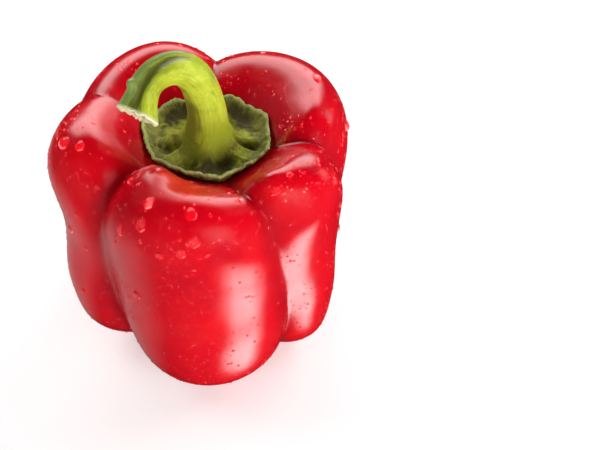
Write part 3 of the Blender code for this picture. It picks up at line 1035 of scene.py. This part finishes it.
def makeWaterMaterial():
    look = {
        "clear": (0.95, 0.9, 0.9),
        "shade": (0.5, 0.35, 0.35),
        "paintedGlow": (0.50, 0.17, 0.13),
        "glint": ((0.6, 0.45, 0.45), 0.75, 0.92),
        "shaded": (-0.2, -0.9),
        "crescentIn": (0.72, 0.88),     # where the bright edge begins and ends, across the drop
        "crescentOut": (0.99, 0.94),
    }
    material, tree, shader, _ = newMaterial("clearWater")
    gather = mark(tree, "gather")
    # painted shade: each drop tinted darker on the side away from its bright edge
    shade = between(tree, gather, *look["shaded"])
    # painted light: a glow along each drop's lower edge, where a drop would gather light
    crescent = times(
        tree, between(tree, gather, *look["crescentIn"]), between(tree, gather, *look["crescentOut"]))
    glow = blendColours(tree, crescent, (0.0, 0.0, 0.0), look["paintedGlow"])
    feed(tree, shader, {
        "Base Color": blendColours(tree, shade, look["clear"], look["shade"]),
        # painted glint near the top of each drop, over the painted glow
        "Emission Color": layered(tree, glow, look, glint=mark(tree, "glint")),
        "Emission Strength": 1.0,
        "Transmission Weight": 1.0,
        "Roughness": 0.03,
        "IOR": 1.33,
    })
    return material


def makeTableMaterial():
    look = {
        "pale": (0.66, 0.66, 0.66),
        "paler": (0.70, 0.70, 0.70),
        "clouds": (0.4, 0.6),
        "near": (0.44, 0.44, 0.44),     # what it glows with at the feet and far off
        "far": (0.95, 0.95, 0.95),
        "fading": (0.4, 1.8),           # metres over which it fades into the white behind it
    }
    material, tree, shader, where = newMaterial("paleTable")
    cloud = between(tree, grainOf(tree, where, 6.0, 3.0), *look["clouds"])
    away = add(tree, "VectorMath", {0: where}, operation="LENGTH").outputs["Value"]
    fade = between(tree, away, *look["fading"])
    feed(tree, shader, {
        "Base Color": blendColours(tree, cloud, look["pale"], look["paler"]),
        "Roughness": 0.7,
        "Emission Color": blendColours(tree, fade, look["near"], look["far"]),
        "Emission Strength": 1.0,
    })
    return material


for piece, material in (
    (pepperFruit, makeSkinMaterial()), (pepperCalyx, makeCalyxMaterial()),
    (pepperStem, makeStemMaterial()), (waterDrops, makeWaterMaterial()),
):
    piece.data.materials.append(material)
waterSpecks.data.materials.append(waterDrops.data.materials[0])
print("materials made")


# ---- table, lights and camera

studio = {
    "tableHalf": 6.0,
    "tableDrop": 0.0003,        # the table lies this far under the feet
    "aim": Vector((0.0, 0.0, 0.05)),
    # name, azimuth and elevation in degrees, distance, width and height in metres, power in watts
    "softboxes": (
        ("backBox", -15, 14, 1.1, 1.1, 0.5, 9.0),
        ("leftBox", -70, 36, 1.1, 0.7, 0.6, 5.5),
        ("rightBox", 55, 32, 1.1, 0.9, 0.6, 9.0),
        ("frontBox", 142, 12, 1.1, 0.8, 0.5, 13.0),
        ("sideBox", -150, 25, 1.1, 0.6, 0.5, 1.6),
    ),
    "ambient": 0.02,            # what lights the shadows
    "behind": 0.95,             # what the camera sees past the table
    "mirrorBase": 0.01,         # what the skin mirrors where no panel stands
    # azimuth, elevation, roll, half width, half height and edge softness in degrees, brightness
    "panels": (
        (-4, 42, 14, 34, 20, 10, 5.0),
        (68, 10, 0, 8, 12, 6, 1.5),
        (123, -58, 0, 12, 11, 7, 6.0),
        (-66, -45, 0, 34, 14, 10, 0.4),
    ),
}


def makeTable():
    half = studio["tableHalf"]
    mesh = bpy.data.meshes.new("table_top")
    height = -studio["tableDrop"]
    corners = [(x * half, y * half, height) for x, y in ((-1, -1), (1, -1), (1, 1), (-1, 1))]
    mesh.from_pydata(corners, [], [(0, 1, 2, 3)])
    table = putIn("table_top", mesh)
    table.data.materials.append(makeTableMaterial())
    table.visible_glossy = False


def towards(azimuth, elevation):
    # azimuth 0 is straight behind the pepper and 90 to its right
    a, e = math.radians(azimuth), math.radians(elevation)
    return Vector((math.sin(a) * math.cos(e), math.cos(a) * math.cos(e), math.sin(e)))


def makeSoftboxes():
    for name, azimuth, elevation, distance, width, height, power in studio["softboxes"]:
        light = bpy.data.lights.new(name, "AREA")
        light.shape = "RECTANGLE"
        light.size, light.size_y = width, height
        light.energy = power
        box = putIn(name, light)
        away = towards(azimuth, elevation)
        box.location = studio["aim"] + away * distance
        box.rotation_mode = "QUATERNION"
        box.rotation_quaternion = away.to_track_quat("Z", "Y")
        box.visible_camera = False
        box.visible_glossy = False      # the skin mirrors the panels of the world instead


def makePanelGroup():
    # a soft-edged rectangle of light far away in one direction
    group, given, result = newGroup(
        "softPanel",
        dict(Direction="Vector", Turn="Vector", HalfWidth="Float", HalfHeight="Float", Edge="Float"),
        dict(Mask="Float"),
    )
    inputs = {"Vector": given["Direction"], "Rotation": given["Turn"]}
    local = add(group, "VectorRotate", inputs, rotation_type="EULER_XYZ", invert=True).outputs[0]
    parts = add(group, "SeparateXYZ", {0: local}).outputs
    mask = maths(group, "GREATER_THAN", parts["Y"], 0.01)
    for part, size in (("X", "HalfWidth"), ("Z", "HalfHeight")):
        slope = maths(group, "ARCTAN2", parts[part], parts["Y"])
        angle = maths(group, "ABSOLUTE", maths(group, "DEGREES", slope))
        low, high = (way(group, given[size], given["Edge"]) for way in (minus, plus))
        mask = times(group, mask, between(group, angle, low, high, 1.0, 0.0))
    feed(group, result, {"Mask": mask})
    return group


def makeWorld():
    panel = makePanelGroup()
    world = bpy.data.worlds.new("studioWorld")
    world.use_nodes = True
    world.cycles.sampling_method = "NONE"
    tree = world.node_tree
    direction = add(tree, "TexCoord").outputs["Generated"]
    mirrored = studio["mirrorBase"]
    for azimuth, elevation, roll, halfWidth, halfHeight, edge, brightness in studio["panels"]:
        turn = Matrix.Identity(3)
        for angle, pivot in ((-azimuth, "Z"), (elevation, "X"), (roll, "Y")):
            turn = turn @ Matrix.Rotation(math.radians(angle), 3, pivot)
        mask = useGroup(tree, panel, {
            "Direction": direction, "Turn": turn.to_euler(),
            "HalfWidth": halfWidth, "HalfHeight": halfHeight, "Edge": edge,
        })["Mask"]
        mirrored = plus(tree, mirrored, times(tree, mask, brightness))
    ray = add(tree, "LightPath").outputs
    glow = add(tree, "Mix", {0: ray["Is Glossy Ray"], 2: studio["ambient"], 3: mirrored}).outputs[0]
    seen = add(tree, "Mix", {0: ray["Is Camera Ray"], 2: glow, 3: studio["behind"]}).outputs[0]
    feed(tree, tree.nodes["Background"], {"Strength": seen, "Color": (1, 1, 1, 1)})
    bpy.context.scene.world = world


def makeCamera():
    look = {
        "elevation": 43.0,
        "lens": 135.0,
        "sensor": 36.0,
        "away": 0.75,
        # the point looked at: so far over the pit's floor, then moved in the camera's own plane
        "overPit": 0.002,
        "right": 0.031,
        "down": 0.026,
    }
    e = math.radians(look["elevation"])
    forward = Vector((0, math.cos(e), -math.sin(e)))
    up = Vector((0, math.sin(e), math.cos(e)))
    target = Vector((axis.x, axis.y, pitFloor + look["overPit"]))
    target += Vector((look["right"], 0, 0)) - up * look["down"]
    camera = bpy.data.cameras.new("camera")
    camera.lens = look["lens"]
    camera.sensor_width = look["sensor"]
    camera.clip_start = 0.01
    holder = putIn("camera", camera)
    holder.location = target - forward * look["away"]
    holder.rotation_mode = "QUATERNION"
    holder.rotation_quaternion = forward.to_track_quat("-Z", "Y")
    bpy.context.scene.camera = holder


makeTable()
makeSoftboxes()
makeWorld()
makeCamera()
bpy.context.scene.view_settings.view_transform = "Standard"
print("table, lights and camera placed")
